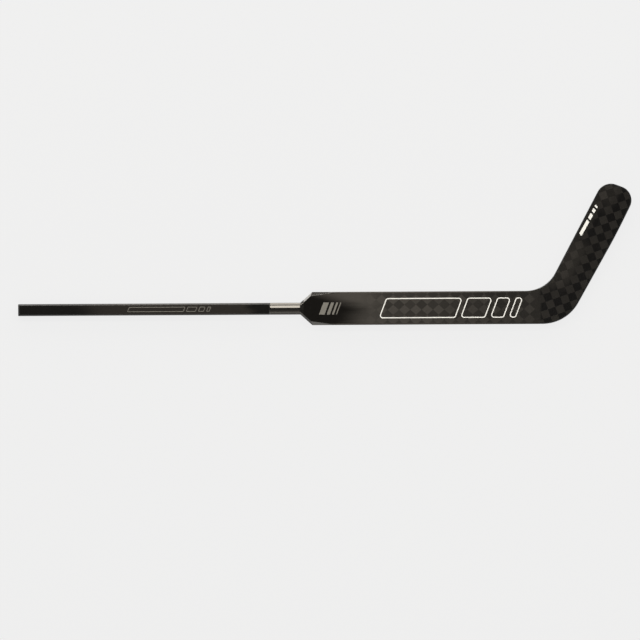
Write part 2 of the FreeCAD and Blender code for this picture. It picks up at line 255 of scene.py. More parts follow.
class StickColours(bpy.types.PropertyGroup):
    """Colours of the finishes."""

    # On the paddle the tows run from the middle to the light tone along a painted sheen, lightest by the
    # shoulders
    tow_light: colour("Light tow", (0.0470, 0.0425, 0.0372), "Lightest tows, by the shoulders")
    tow_mid: colour("Middle tow", (0.0268, 0.0242, 0.0210), "Tows between light and dark")
    tow_dark: colour("Dark tow", (0.0156, 0.0141, 0.0122), "Dark tows, by the heel")
    tow_black: colour("Black tow", (0.0039, 0.0036, 0.0033), "Darkest tows, on the blade")
    # Painted sheen: lighter than the bare weave, where the black lacquer thins out
    lacquer_sheen: colour("Haze", (0.0540, 0.0490, 0.0430), "Lacquer that thins out over the weave")
    lacquer: colour("Lacquer", (0.0055, 0.0048, 0.0040), "Black lacquer over the shoulders")
    grip: colour("Grip", (0.0040, 0.0036, 0.0030), "Matt coat of the shaft")
    # Painted light: the grip's coat as it shows, lighter, along the middle of the shaft
    grip_lit_middle: colour("Worn grip", (0.0180, 0.0156, 0.0131), "The same coat where hands hold it")
    neck: colour("Neck", (0.0095, 0.0088, 0.0080), "Carbon of the neck")
    gloss: colour("Gloss", (1.0, 0.945, 0.86), "Tint of the reflections on the neck")
    rail: colour("Rail", (0.0210, 0.0188, 0.0158), "Coat of the edge rails")
    rubber: colour("Rubber", (0.0085, 0.0080, 0.0072), "Rubber of the end cap")
    core: colour("Core foam", (0.75, 0.68, 0.50), "Foam between the skins")
    heel: colour("Heel foam", (0.45, 0.42, 0.36), "Dense foam of the heel block")
    white_ink: colour("White ink", (0.80, 0.79, 0.75), "Markings on paddle and blade")
    grey_ink: colour("Grey ink", (0.17, 0.16, 0.14), "Markings on shaft and shoulder")
    floor: colour("Floor", (0.855, 0.855, 0.855), "Floor and surroundings")


def heading(radians):
    """Return the flat unit vector at an angle from the shaft's axis."""
    return Vector((math.cos(radians), math.sin(radians), 0))


def meet(point, way, other_point, other_way):
    """Return where two flat lines cross."""
    gap = other_point - point
    return point + way * (gap.cross(other_way).z / way.cross(other_way).z)


def shoulder_line(sizes):
    """Return the slope of the shoulders' edges, and half the width between them at the collar."""
    slope = (HALF_PADDLE - HALF_SHAFT) / sizes.shoulder_run
    return slope, HALF_SHAFT + (X_COLLAR + sizes.paddle_length / 2) * slope


class BladePlan:
    """Directions, corners and curve of the blade, worked out from the sizes."""

    def __init__(self, sizes):
        self.sizes = sizes
        self.heel = Vector((sizes.paddle_length / 2, -HALF_PADDLE, 0))
        self.along = heading(sizes.blade_angle)
        self.across = heading(sizes.blade_angle + math.pi / 2)
        self.bend = heading(sizes.blade_angle - sizes.curve_skew)
        middle = self.heel + self.across * (sizes.blade_width / 2)
        self.axis_corner = meet(Vector((0, 0, 0)), Vector((1, 0, 0)), middle, self.along)
        curve = sizes.blade_length - sizes.curve_start
        front_rise = sizes.curve_rise + sizes.toe_thickness - THICKNESS
        self.rear_radius = (curve ** 2 + sizes.curve_rise ** 2) / (2 * sizes.curve_rise)
        self.front_radius = (curve ** 2 + front_rise ** 2) / (2 * front_rise)

    def corners(self):
        """Return the plan of paddle and blade as (point, radius) corners, from the collar round."""
        sizes = self.sizes
        x_shoulder = sizes.shoulder_run - sizes.paddle_length / 2
        _, y_collar = shoulder_line(sizes)
        rocker = self.heel + self.along * (sizes.blade_length - sizes.rocker_to_toe)
        rocker_way = heading(sizes.blade_angle + sizes.rocker_angle)
        top = self.heel + self.along * sizes.blade_width_at + self.across * sizes.blade_width
        top_way = heading(sizes.blade_angle + sizes.blade_flare)
        toe = self.heel + self.across * (sizes.blade_width / 2) + self.along * sizes.blade_length
        toe_way = heading(sizes.blade_angle + math.pi / 2 + sizes.toe_tilt)
        upper_edge = Vector((0, HALF_PADDLE, 0))
        return [
            (Vector((X_COLLAR, -y_collar, 0)), 0),
            (Vector((x_shoulder, -HALF_PADDLE, 0)), 0),
            (self.heel, sizes.heel_radius),
            (rocker, sizes.rocker_radius),
            (meet(rocker, rocker_way, toe, toe_way), sizes.toe_lower_radius),
            (meet(top, top_way, toe, toe_way), sizes.toe_upper_radius),
            (meet(upper_edge, Vector((1, 0, 0)), top, top_way), sizes.throat_radius),
            (Vector((x_shoulder, HALF_PADDLE, 0)), 0),
            (Vector((X_COLLAR, y_collar, 0)), 0),
        ]

    def curved(self, point):
        """Return where a point of the flat sandwich lies once the blade is curved."""
        distance = (point - self.heel).dot(self.bend) - self.sizes.curve_start
        if distance <= 0:
            return point.copy()
        rear = self.rear_radius - math.sqrt(self.rear_radius ** 2 - distance ** 2)
        front = THICKNESS + self.front_radius - math.sqrt(self.front_radius ** 2 - distance ** 2)
        height = rear + (front - rear) * point.z / THICKNESS
        return Vector((point.x, point.y, height))

    def is_upper(self, point):
        """Tell whether a point lies on the toe's side of the middle of paddle and blade."""
        return point.y > 0 and (point - self.axis_corner).dot(self.across) > 0


# Mesh tools

def everything(bm):
    """Return all the elements of a bmesh, as its operators take them."""
    return bm.verts[:] + bm.edges[:] + bm.faces[:]


def slice_off(bm, point, normal):
    """Remove what lies on the normal's side of a plane, and return the edges of the cut."""
    made = bmesh.ops.bisect_plane(
        bm, geom=everything(bm), dist=MERGE, plane_co=point, plane_no=normal, clear_outer=True)
    return [item for item in made["geom_cut"] if isinstance(item, bmesh.types.BMEdge)]


def split(bm, point, normal):
    """Cut along a plane and keep both sides."""
    bmesh.ops.bisect_plane(bm, geom=everything(bm), dist=MERGE, plane_co=point, plane_no=normal)


def bevel_edges(bm, edges, offset, segments):
    """Round edges."""
    bmesh.ops.bevel(
        bm, geom=edges, offset=offset, offset_type="OFFSET", segments=segments, profile=0.5,
        affect="EDGES", material=-1)


def rounded_plan(bm, corners):
    """Draw the closed plan whose (point, radius) corners are turned by arcs, and return its face."""
    drawn = set(bm.edges)
    ends = []
    for index, (corner, radius) in enumerate(corners):
        before = (corners[index - 1][0] - corner).normalized()
        after = (corners[(index + 1) % len(corners)][0] - corner).normalized()
        half = before.angle(after) / 2
        start = bm.verts.new(corner + before * (radius / math.tan(half)))
        last = start
        if radius > 0:
            centre = corner + (before + after).normalized() * (radius / math.sin(half))
            turn = math.copysign(math.pi - 2 * half, after.cross(before).z)
            steps = max(LEAST_ARC_STEPS, math.ceil(abs(turn) / ARC_STEP))
            spun = bmesh.ops.spin(bm, geom=[start], cent=centre, axis=UP, angle=turn, steps=steps)
            last = spun["geom_last"][0]
        ends.append((start, last))
    for index, (start, last) in enumerate(ends):
        bm.edges.new((ends[index - 1][1], start))
    outline = [edge for edge in bm.edges if edge not in drawn]
    return bmesh.ops.contextual_create(bm, geom=outline)["faces"][0]


def raise_prism(bm, face, height):
    """Extrude a flat face into a closed prism."""
    grown = bmesh.ops.extrude_face_region(bm, geom=[face])["geom"]
    top = [item for item in grown if isinstance(item, bmesh.types.BMVert)]
    bmesh.ops.translate(bm, verts=top, vec=UP * height)
    bmesh.ops.recalc_face_normals(bm, faces=bm.faces)


def rounded_bar(x_low, x_high, corner):
    """Return a bar of the shaft's section with rounded long corners."""
    bm = bmesh.new()
    size = Vector((x_high - x_low, 2 * HALF_SHAFT, THICKNESS))
    centre = Vector(((x_low + x_high) / 2, 0, THICKNESS / 2))
    place = Matrix.Translation(centre) @ Matrix.Diagonal(size.to_4d())
    bmesh.ops.create_cube(bm, size=1.0, matrix=place)
    long_edges = [edge for edge in bm.edges if abs(edge.verts[0].co.x - edge.verts[1].co.x) > MERGE]
    bevel_edges(bm, long_edges, corner, CORNER_STEPS)
    return bm


def end_edges(bm, x):
    """Return the edges that lie in the plane across the shaft at x."""
    return [edge for edge in bm.edges if all(abs(vert.co.x - x) < MERGE for vert in edge.verts)]


def only_faces(source, wanted):
    """Return a copy of a bmesh that keeps only the faces that pass a test."""
    bm = source.copy()
    rest = [face for face in bm.faces if not wanted(face)]
    bmesh.ops.delete(bm, geom=rest, context="FACES")
    for face in bm.faces:
        face.material_index = 0
    return bm


def link_mesh(bm, name, material):
    """Turn a bmesh into an object of the scene."""
    mesh = bpy.data.meshes.new(name)
    bm.to_mesh(mesh)
    bm.free()
    mesh.materials.append(material)
    item = bpy.data.objects.new(name, mesh)
    bpy.context.scene.collection.objects.link(item)
    return item


def make_piece(bm, name, material, nodes=(), shell=0.0, outside=False):
    """Turn a bmesh into a piece that rides on the stick and stands for CAD nodes."""
    bm.edges.index_update()
    open_edges = [edge.index for edge in bm.edges if edge.is_boundary]
    piece = link_mesh(bm, name, material)
    mesh = piece.data
    mesh.shade_smooth()
    mesh.set_sharp_from_angle(angle=SHARP_ANGLE)
    # Rims of open shells stay crisp
    for index in open_edges:
        mesh.edges[index].use_edge_sharp = True
    if shell > 0:
        wall = piece.modifiers.new("Wall", "SOLIDIFY")
        wall.thickness = shell
        wall.offset = 1.0 if outside else -1.0
        wall.use_even_offset = True
    normals = piece.modifiers.new("Flat faces", "WEIGHTED_NORMAL")
    normals.keep_sharp = True
    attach(piece, "root")
    if nodes:
        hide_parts(*nodes)
    return piece


# Material tools
NUMBER, VECTOR = "NodeSocketFloat", "NodeSocketVector"


class Nodes:
    """A node tree with short calls for the nodes that the finishes are made of."""

    def __init__(self, tree):
        self.tree = tree

    def add(self, kind, inputs=None, **settings):
        """Add a node, set its options, and feed its inputs by name or number."""
        node = self.tree.nodes.new(kind)
        for name, value in settings.items():
            setattr(node, name, value)
        for key, value in (inputs or {}).items():
            self.feed(node.inputs[key], value)
        return node

    def feed(self, socket, value):
        """Link a socket to another one, or set its own value."""
        if isinstance(value, bpy.types.NodeSocket):
            self.tree.links.new(value, socket)
        else:
            socket.default_value = value

    def math(self, operation, first, second=0.0, third=0.0):
        """Return the result of a sum on numbers."""
        inputs = {0: first, 1: second, 2: third}
        return self.add("ShaderNodeMath", inputs, operation=operation).outputs[0]

    def spread(self, value, low, high, to_low=0.0, to_high=1.0):
        """Return a value eased from one range to another."""
        inputs = {"Value": value, "From Min": low, "From Max": high, "To Min": to_low, "To Max": to_high}
        node = self.add("ShaderNodeMapRange", inputs, interpolation_type="SMOOTHSTEP")
        return node.outputs["Result"]

    def band(self, value, rise, fall):
        """Return a number that is 1 between a rise and a fall of a value, and 0 outside them."""
        return self.math("MULTIPLY", self.spread(value, *rise), self.spread(value, *fall))

    def blend(self, factor, first, second):
        """Return a blend of two numbers."""
        return self.add("ShaderNodeMix", {0: factor, 2: first, 3: second}, data_type="FLOAT").outputs[0]

    def tint(self, factor, first, second):
        """Return a blend of two colours."""
        inputs = {0: factor, 6: rgba(first), 7: rgba(second)}
        return self.add("ShaderNodeMix", inputs, data_type="RGBA").outputs[2]

    def vector_math(self, operation, inputs):
        """Return the result of a sum on vectors."""
        return self.add("ShaderNodeVectorMath", inputs, operation=operation).outputs[0]

    def scaled(self, vector, factor):
        """Return a vector or colour times a number."""
        return self.vector_math("SCALE", {0: vector, "Scale": factor})

    def noise(self, vector, waves, detail=3.0, rough=0.6):
        """Return a noise from 0 to 1 with its own number of waves along each axis."""
        at = self.vector_math("MULTIPLY", {0: vector, 1: waves})
        inputs = {"Vector": at, "Scale": 1.0, "Detail": detail, "Roughness": rough}
        return self.add("ShaderNodeTexNoise", inputs).outputs["Fac"]

    def drift(self, value, noise, reach):
        """Return a number moved to both sides by a noise."""
        return self.math("MULTIPLY_ADD", self.math("SUBTRACT", noise, 0.5), reach, value)

    def place(self, location=(0, 0, 0), turn=0.0, scale=(1, 1, 1)):
        """Return the piece's own coordinates, scaled, turned about Z and moved."""
        coords = self.add("ShaderNodeTexCoord").outputs["Object"]
        inputs = {"Vector": coords, "Location": location, "Rotation": (0, 0, turn), "Scale": scale}
        return self.add("ShaderNodeMapping", inputs).outputs["Vector"]

    def parts(self, vector):
        """Return the three numbers of a vector."""
        return self.add("ShaderNodeSeparateXYZ", {0: vector}).outputs[:]

    def group(self, name, inputs):
        """Place a node group and return its outputs."""
        return self.add("ShaderNodeGroup", inputs, node_tree=bpy.data.node_groups[name]).outputs


def rgba(value):
    """Return a colour with its alpha, or a socket as it is."""
    if isinstance(value, bpy.types.NodeSocket):
        return value
    return (*value, 1.0)


def new_group(name, inputs, outputs):
    """Return a new shader node group with number or vector sockets, and its two end nodes."""
    tree = bpy.data.node_groups.new(name, "ShaderNodeTree")
    for label, kind in inputs:
        tree.interface.new_socket(label, in_out="INPUT", socket_type=kind)
    for label, kind in outputs:
        tree.interface.new_socket(label, in_out="OUTPUT", socket_type=kind)
    return Nodes(tree), tree.nodes.new("NodeGroupInput"), tree.nodes.new("NodeGroupOutput")


def build_tow_weave():
    """Build the group that weaves wide flat tows: checks, tone, fibres, seams and height."""
    nodes, start, end = new_group(
        "Tow weave",
        [("Vector", VECTOR), ("Tow Width", NUMBER)],
        [("Check", NUMBER), ("Tone", NUMBER), ("Fibre", NUMBER), ("Seam", NUMBER), ("Height", NUMBER)])
    count = nodes.math("DIVIDE", 1.0, start.outputs["Tow Width"])
    grid = nodes.scaled(start.outputs["Vector"], count)
    cell = nodes.vector_math("FLOOR", {0: grid})
    cell_u, cell_v, _ = nodes.parts(cell)
    check = nodes.math("FLOORED_MODULO", nodes.math("ADD", cell_u, cell_v), 2.0)
    own = nodes.add("ShaderNodeCombineXYZ", {0: cell_u, 1: cell_v}).outputs[0]
    tone = nodes.add("ShaderNodeTexWhiteNoise", {"Vector": own}, noise_dimensions="3D").outputs["Value"]
    along_u = nodes.noise(grid, (FIBRES_ALONG, FIBRES_ACROSS, 0.0))
    along_v = nodes.noise(grid, (FIBRES_ACROSS, FIBRES_ALONG, 0.0))
    fibre = nodes.blend(check, along_u, along_v)
    within = nodes.vector_math("FRACTION", {0: grid})
    in_u, in_v, _ = nodes.parts(within)
    rim_u = nodes.math("PINGPONG", in_u, 0.5)
    rim_v = nodes.math("PINGPONG", in_v, 0.5)
    seam = nodes.spread(nodes.math("MINIMUM", rim_u, rim_v), 0.0, SEAM_SHARE)
    crown = nodes.spread(nodes.blend(check, rim_u, rim_v), 0.0, CROWN_SHARE)
    height = nodes.math("MULTIPLY_ADD", fibre, FIBRE_SHARE, crown)
    results = {"Check": check, "Tone": tone, "Fibre": fibre, "Seam": seam, "Height": height}
    for label, value in results.items():
        nodes.feed(end.inputs[label], value)


def build_handling():
    """Build the group for a light haze of fine rub marks and dust."""
    nodes, start, end = new_group("Handling", [("Vector", VECTOR)], [("Marks", NUMBER), ("Grain", NUMBER)])
    at = start.outputs["Vector"]
    cloud = nodes.noise(at, CLOUD_WAVES, 4.0)
    scratch = nodes.noise(at, SCRATCH_WAVES, 2.0, 0.7)
    marks = nodes.math("MULTIPLY", nodes.spread(cloud, 0.35, 0.75), nodes.spread(scratch, 0.5, 0.8))
    nodes.feed(end.inputs["Marks"], marks)
    nodes.feed(end.inputs["Grain"], nodes.noise(at, GRAIN_WAVES, 2.0, 0.5))


class Finish(Nodes):
    """The nodes of a new material, with constant values set on its Principled shader."""

    def __init__(self, name, **constants):
        self.material = bpy.data.materials.new(name)
        self.material.use_nodes = True
        super().__init__(self.material.node_tree)
        self.shader = self.tree.nodes["Principled BSDF"]
        for label, value in constants.items():
            self.shader.inputs[label.replace("_", " ").title().replace("Ior", "IOR")].default_value = value

    def paint(self, base, rough):
        """Feed the shader's colour and roughness."""
        self.feed(self.shader.inputs["Base Color"], base)
        self.feed(self.shader.inputs["Roughness"], rough)

    def bump(self, height, distance, strength=1.0):
        """Give the shader a bump from a height."""
        inputs = {"Height": height, "Distance": distance, "Strength": strength}
        self.feed(self.shader.inputs["Normal"], self.add("ShaderNodeBump", inputs).outputs["Normal"])


def lay_tows(nodes, tow_width, crossing, turn, stretch=(1, 1)):
    """Weave tows at a turn to the shaft, with the middle of a light one on a point."""
    scale = Vector((1 / stretch[0], 1 / stretch[1], 1))
    laid = Matrix.Rotation(-turn, 3, "Z") @ Matrix.Diagonal(scale) @ Vector((*crossing, 0))
    middle = Vector((tow_width / 2, tow_width / 2, 0))
    at = nodes.place(middle - laid, -turn, scale)
    return nodes.group("Tow weave", {"Vector": at, "Tow Width": tow_width})


def woven_colour(nodes, weave, light, dark):
    """Return the colour of tows whose tone, fibres and seams vary a little."""
    tows = nodes.tint(weave["Check"], light, dark)
    tone = nodes.spread(weave["Tone"], 0.0, 1.0, 0.92, 1.08)
    fibre = nodes.spread(weave["Fibre"], 0.25, 0.75, 0.84, 1.16)
    seam = nodes.spread(weave["Seam"], 0.0, 1.0, 0.8, 1.0)
    return nodes.scaled(tows, nodes.math("MULTIPLY", nodes.math("MULTIPLY", tone, fibre), seam))


def woven_roughness(nodes, weave, at):
    """Return the roughness of lacquered tows with rub marks."""
    marks = nodes.group("Handling", {"Vector": at})["Marks"]
    return nodes.math("ADD", nodes.spread(weave["Fibre"], 0.2, 0.8, *WEAVE_ROUGHNESS), marks)


def laminate_shade(nodes, at, waves):
    """Return the shade of fine fibres along the stick."""
    return nodes.spread(nodes.noise(at, waves), 0.2, 0.8, 0.7, 1.4)


def paddle_material(sizes, colours):
    """Spread-tow carbon on the bias, with black lacquer that runs out in streaks below the shoulders.
    Painted sheen lightens the thinning lacquer and the tows towards the shoulders.
    """
    nodes = Finish("paddle_weave", **WOVEN_FINISH)
    weave = lay_tows(nodes, sizes.tow_width, PADDLE_CROSSING, sizes.paddle_tow_angle, PADDLE_STRETCH)
    at = nodes.place()
    x, y, _ = nodes.parts(at)
    # Painted sheen: both tones of the paddle's tows turn lighter towards the shoulders
    paddle_sheen_level = nodes.spread(x, *SHEEN_ALONG_PADDLE)
    near_seam = nodes.spread(x, *DARK_SEAM)
    light = nodes.tint(paddle_sheen_level, colours.tow_mid, colours.tow_light)
    light = nodes.tint(near_seam, light, colours.tow_dark)
    dark = nodes.tint(paddle_sheen_level, colours.tow_dark, colours.tow_mid)
    woven = woven_colour(nodes, weave, light, dark)
    streak = nodes.noise(at, STREAK_WAVES)
    upper, lower = (nodes.math("MULTIPLY", y, slant) for slant in (UPPER_SLANT, LOWER_SLANT))
    end = nodes.math("ADD", x, nodes.math("MAXIMUM", upper, lower))
    # The black lacquer runs out in streaks through a painted sheen before the bare weave shows
    thinning_sheen = nodes.spread(nodes.drift(end, streak, STREAK), *LACQUER_TO_SHEEN)
    sheened_lacquer = nodes.tint(thinning_sheen, colours.lacquer, colours.lacquer_sheen)
    bare = nodes.spread(nodes.math("MULTIPLY_ADD", streak, STREAK, x), *BARE_WEAVE)
    rough = nodes.blend(bare, LACQUER_ROUGHNESS, woven_roughness(nodes, weave, at))
    nodes.paint(nodes.tint(bare, sheened_lacquer, woven), rough)
    nodes.bump(weave["Height"], WEAVE_HEIGHT)
    return nodes.material


def blade_material(sizes, colours, plan):
    """Spread-tow carbon laid along the blade, with a painted sheen that makes it a little lighter along
    part of its upper edge.
    """
    nodes = Finish("blade_weave", **WOVEN_FINISH)
    weave = lay_tows(nodes, sizes.tow_width, BLADE_CROSSING, sizes.blade_tow_angle)
    turned = Matrix.Rotation(-sizes.blade_angle, 3, "Z") @ plan.heel
    at = nodes.place(-turned, -sizes.blade_angle)
    along, across, _ = nodes.parts(at)
    x, _, _ = nodes.parts(nodes.place())
    near_middle = nodes.band(along, *BLADE_MIDDLE)
    near_toe = nodes.spread(along, *BLADE_TOE, 0.0, PART_SHARE)
    reach = nodes.math("MAXIMUM", near_middle, near_toe)
    # Painted sheen: light and dark tows turn lighter towards the upper edge, along the middle and towards
    # the toe
    blade_sheen_level = nodes.math("MULTIPLY", nodes.spread(across, *SHEEN_ACROSS), reach)
    dark_sheen_and_seam_level = nodes.math("MULTIPLY", nodes.spread(across, *DARK_SHEEN_ACROSS), reach)
    dark_sheen_and_seam_level = nodes.math("MAXIMUM", dark_sheen_and_seam_level, nodes.spread(x, *BLADE_SEAM))
    past_throat = nodes.spread(along, *BLADE_RIM, 0.0, PART_SHARE)
    rim_sheen = nodes.math("MULTIPLY", past_throat, nodes.spread(across, *RIM_SHEEN_ACROSS))
    dark_sheen_and_seam_level = nodes.math("MAXIMUM", dark_sheen_and_seam_level, rim_sheen)
    light = nodes.tint(blade_sheen_level, colours.tow_dark, colours.tow_mid)
    dark = nodes.tint(dark_sheen_and_seam_level, colours.tow_black, colours.tow_dark)
    woven = woven_colour(nodes, weave, light, dark)
    nodes.paint(woven, woven_roughness(nodes, weave, at))
    nodes.bump(weave["Height"], WEAVE_HEIGHT)
    return nodes.material


def rail_material(colours):
    """Carbon edge, lighter along the paddle, under a clear coat that is thickest on the shoulders."""
    nodes = Finish("edge_gloss", specular_ior_level=0.08, coat_roughness=0.09, coat_ior=1.6)
    at = nodes.place()
    x, _, _ = nodes.parts(at)
    nodes.feed(nodes.shader.inputs["Coat Weight"], nodes.spread(x, *THICK_COAT, 0.05, 1.0))
    base = nodes.tint(nodes.band(x, *LIGHT_RAILS), colours.rail, colours.tow_light)
    shade = laminate_shade(nodes, at, RAIL_WAVES)
    marks = nodes.group("Handling", {"Vector": at})["Marks"]
    rough = nodes.math("MULTIPLY_ADD", marks, RAIL_RUB, RAIL_ROUGHNESS)
    nodes.paint(nodes.scaled(base, shade), rough)
    return nodes.material


def grip_material(colours):
    """Matt tacky coat with a fine grain, with painted light that makes it greyer along the middle of the
    shaft.
    """
    nodes = Finish("shaft_grip", specular_ior_level=0.45)
    at = nodes.place()
    x, _, _ = nodes.parts(at)
    cloud = nodes.noise(at, GRIP_WAVES, 4.0)
    # Painted light with a cloudy edge along the middle of the shaft
    lit_middle = nodes.band(nodes.drift(x, cloud, GRIP_DRIFT), *GRIP_LIGHT_BAND)
    base = nodes.tint(lit_middle, colours.grip, colours.grip_lit_middle)
    grain = nodes.group("Handling", {"Vector": at})["Grain"]
    nodes.paint(base, nodes.spread(grain, 0.3, 0.7, *GRIP_ROUGHNESS))
    nodes.bump(grain, GRIP_HEIGHT, 0.5)
    return nodes.material


def neck_material(colours):
    """Glossy carbon with warm reflections."""
    nodes = Finish("neck_gloss", specular_ior_level=0.85, specular_tint=rgba(colours.gloss))
    at = nodes.place()
    shade = laminate_shade(nodes, at, NECK_WAVES)
    marks = nodes.group("Handling", {"Vector": at})["Marks"]
    rough = nodes.spread(marks, 0.0, 1.0, *NECK_ROUGHNESS)
    nodes.paint(nodes.scaled(colours.neck[:], shade), rough)
    return nodes.material


def rubber_material(colours):
    """Moulded rubber with a fine grain."""
    nodes = Finish("cap_rubber", specular_ior_level=0.4)
    at = nodes.place()
    grain = nodes.group("Handling", {"Vector": at})["Grain"]
    shade = nodes.spread(grain, 0.2, 0.8, 0.8, 1.3)
    base = nodes.scaled(colours.rubber[:], shade)
    nodes.paint(base, nodes.spread(grain, 0.3, 0.7, *RUBBER_ROUGHNESS))
    nodes.bump(grain, RUBBER_HEIGHT, 0.6)
    return nodes.material


def foam_material(name, base, cell_size):
    """Rigid foam with closed cells."""
    nodes = Finish(name, specular_ior_level=0.2)
    inputs = {"Vector": nodes.place(), "Scale": 1 / cell_size}
    cells = nodes.add("ShaderNodeTexVoronoi", inputs).outputs["Distance"]
    shade = nodes.spread(cells, 0.0, 0.7, 0.78, 1.08)
    nodes.paint(nodes.scaled(base[:], shade), FOAM_ROUGHNESS)
    nodes.bump(cells, cell_size / 4)
    return nodes.material


def ink_material(name, base, rough):
    """Printed ink with a little unevenness."""
    nodes = Finish(name, specular_ior_level=0.4)
    grain = nodes.noise(nodes.place(), PRINT_WAVES)
    shade = nodes.spread(grain, 0.25, 0.75, 0.93, 1.04)
    uneven = nodes.spread(grain, 0.2, 0.8, rough - INK_SPREAD, rough + INK_SPREAD)
    nodes.paint(nodes.scaled(base[:], shade), uneven)
    return nodes.material


# Stage
FLOOR_HALF = 40.0
FLOOR_GAP = 0.0004
FLOOR_SHADE = 0.045
ZENITH = (0.06, 0.06, 0.06)
ZENITH_RISE = (0.25, 0.80)
GROUND = (0.877, 0.877, 0.873)
GROUND_FALL = (0.0, -0.1)
PIXEL = 0.00248
IMAGE_PIXELS = 640
CAMERA_AIM = (-0.2815, -0.0284)
CAMERA_TURN = -0.31
CAMERA_HEIGHT = 3.0
CAMERA_REACH = 50.0
LIGHT_DISTANCE = 6.0
LIGHT_TINT = (1.0, 0.97, 0.91)
# Soft panels: side, tilt from overhead and height in degrees, brightness
PANELS = {
    "key_high": (1, 38.0, 10.0, 8.9),
    "key_low": (1, 75.0, 24.0, 6.0),
    "fill_high": (-1, 35.0, 11.0, 0.18),
    "fill_low": (-1, 47.0, 13.0, 1.6),
}
PANEL_LENGTH = 17.0


def build_floor(pale):
    """Build the pale floor, which keeps the stick's shadow."""
    bm = bmesh.new()
    bmesh.ops.create_grid(bm, x_segments=1, y_segments=1, size=FLOOR_HALF)
    bmesh.ops.translate(bm, verts=bm.verts, vec=(0, 0, -FLOOR_GAP))
    material = bpy.data.materials.new("floor")
    material.use_nodes = True
    nodes = Nodes(material.node_tree)
    material.node_tree.nodes.clear()
    paint = nodes.add("ShaderNodeBsdfDiffuse", {"Color": rgba(pale)}).outputs[0]
    glow = nodes.add("ShaderNodeEmission", {"Color": rgba(pale), "Strength": 1.0}).outputs[0]
    path = nodes.add("ShaderNodeLightPath").outputs
    seen = nodes.math("MAXIMUM", path["Is Camera Ray"], path["Is Glossy Ray"])
    seen = nodes.math("MAXIMUM", seen, path["Is Transmission Ray"])
    share = nodes.math("MULTIPLY", seen, 1 - FLOOR_SHADE)
    surface = nodes.add("ShaderNodeMixShader", {0: share, 1: paint, 2: glow}).outputs[0]
    nodes.add("ShaderNodeOutputMaterial", {"Surface": surface})
    floor = link_mesh(bm, "floor", material)


def build_world(scene, pale):
    """Light the scene with pale surroundings that darken overhead and match the lit floor below."""
    world = bpy.data.worlds.new("studio")
    world.use_nodes = True
    nodes = Nodes(world.node_tree)
    world.node_tree.nodes.clear()
    way = nodes.add("ShaderNodeTexCoord").outputs["Generated"]
    _, _, rise = nodes.parts(way)
    sky = nodes.tint(nodes.spread(rise, *ZENITH_RISE), pale, ZENITH)
    around = nodes.tint(nodes.spread(rise, *GROUND_FALL), sky, GROUND)
    light = nodes.add("ShaderNodeBackground", {"Color": around, "Strength": 1.0}).outputs[0]
    nodes.add("ShaderNodeOutputWorld", {"Surface": light})
    scene.world = world


def build_lights(scene):
    """Place long soft panels on both sides of the stick, as seen from its middle."""
    for name, (side, tilt, height, brightness) in PANELS.items():
        data = bpy.data.lights.new(name, "AREA")
        data.shape = "RECTANGLE"
        data.size = PANEL_LENGTH
        data.size_y = 2 * LIGHT_DISTANCE * math.tan(math.radians(height / 2))
        data.energy = brightness * math.pi * data.size * data.size_y
        data.color = LIGHT_TINT
        lamp = bpy.data.objects.new(name, data)
        tilt = math.radians(tilt)
        away = Vector((0, side * math.sin(tilt), math.cos(tilt)))
        lamp.location = Vector((CAMERA_AIM[0], 0, 0)) + away * LIGHT_DISTANCE
        lamp.rotation_euler = (-away).to_track_quat("-Z", "Y").to_euler()
        lamp.visible_camera = False
        scene.collection.objects.link(lamp)


def build_camera(scene):
    """Look straight down on the striking face."""
    data = bpy.data.cameras.new("camera")
    data.type = "ORTHO"
    data.ortho_scale = IMAGE_PIXELS * PIXEL
    data.clip_end = CAMERA_REACH
    camera = bpy.data.objects.new("camera", data)
    camera.location = (*CAMERA_AIM, CAMERA_HEIGHT)
    camera.rotation_euler = (0, 0, math.radians(CAMERA_TURN))
    scene.collection.objects.link(camera)
    scene.camera = camera


# Operators

def sizes_of(context):
    """Return the stick's sizes."""
    return context.scene.stick_sizes


def colours_of(context):
    """Return the stick's colours."""
    return context.scene.stick_colours


class STICK_OT_cap(bpy.types.Operator):
    """Build the rubber end cap at the butt"""

    bl_idname = "stick.cap"
    bl_label = "End Cap"

    def execute(self, context):
        sizes = sizes_of(context)
        bm = rounded_bar(CAP_LOW.x, CAP_LOW.x + sizes.cap_flange, sizes.shaft_corner)
        bevel_edges(bm, end_edges(bm, CAP_LOW.x), sizes.cap_rim, ROUND_STEPS)
        make_piece(bm, "butt_cap", rubber_material(colours_of(context)), ["butt_end_cap"])
        return {"FINISHED"}


class STICK_OT_grip(bpy.types.Operator):
    """Build the shaft with its matt grip coat"""

    bl_idname = "stick.grip"
    bl_label = "Grip"

    def execute(self, context):
        sizes = sizes_of(context)
        bm = rounded_bar(SHAFT_LOW.x, SHAFT_HIGH.x, sizes.shaft_corner)
        ends = end_edges(bm, SHAFT_LOW.x) + end_edges(bm, SHAFT_HIGH.x)
        bevel_edges(bm, ends, sizes.neck_edge, END_STEPS)
        make_piece(bm, "grip_sleeve", grip_material(colours_of(context)), ["shaft_tube"])
        return {"FINISHED"}


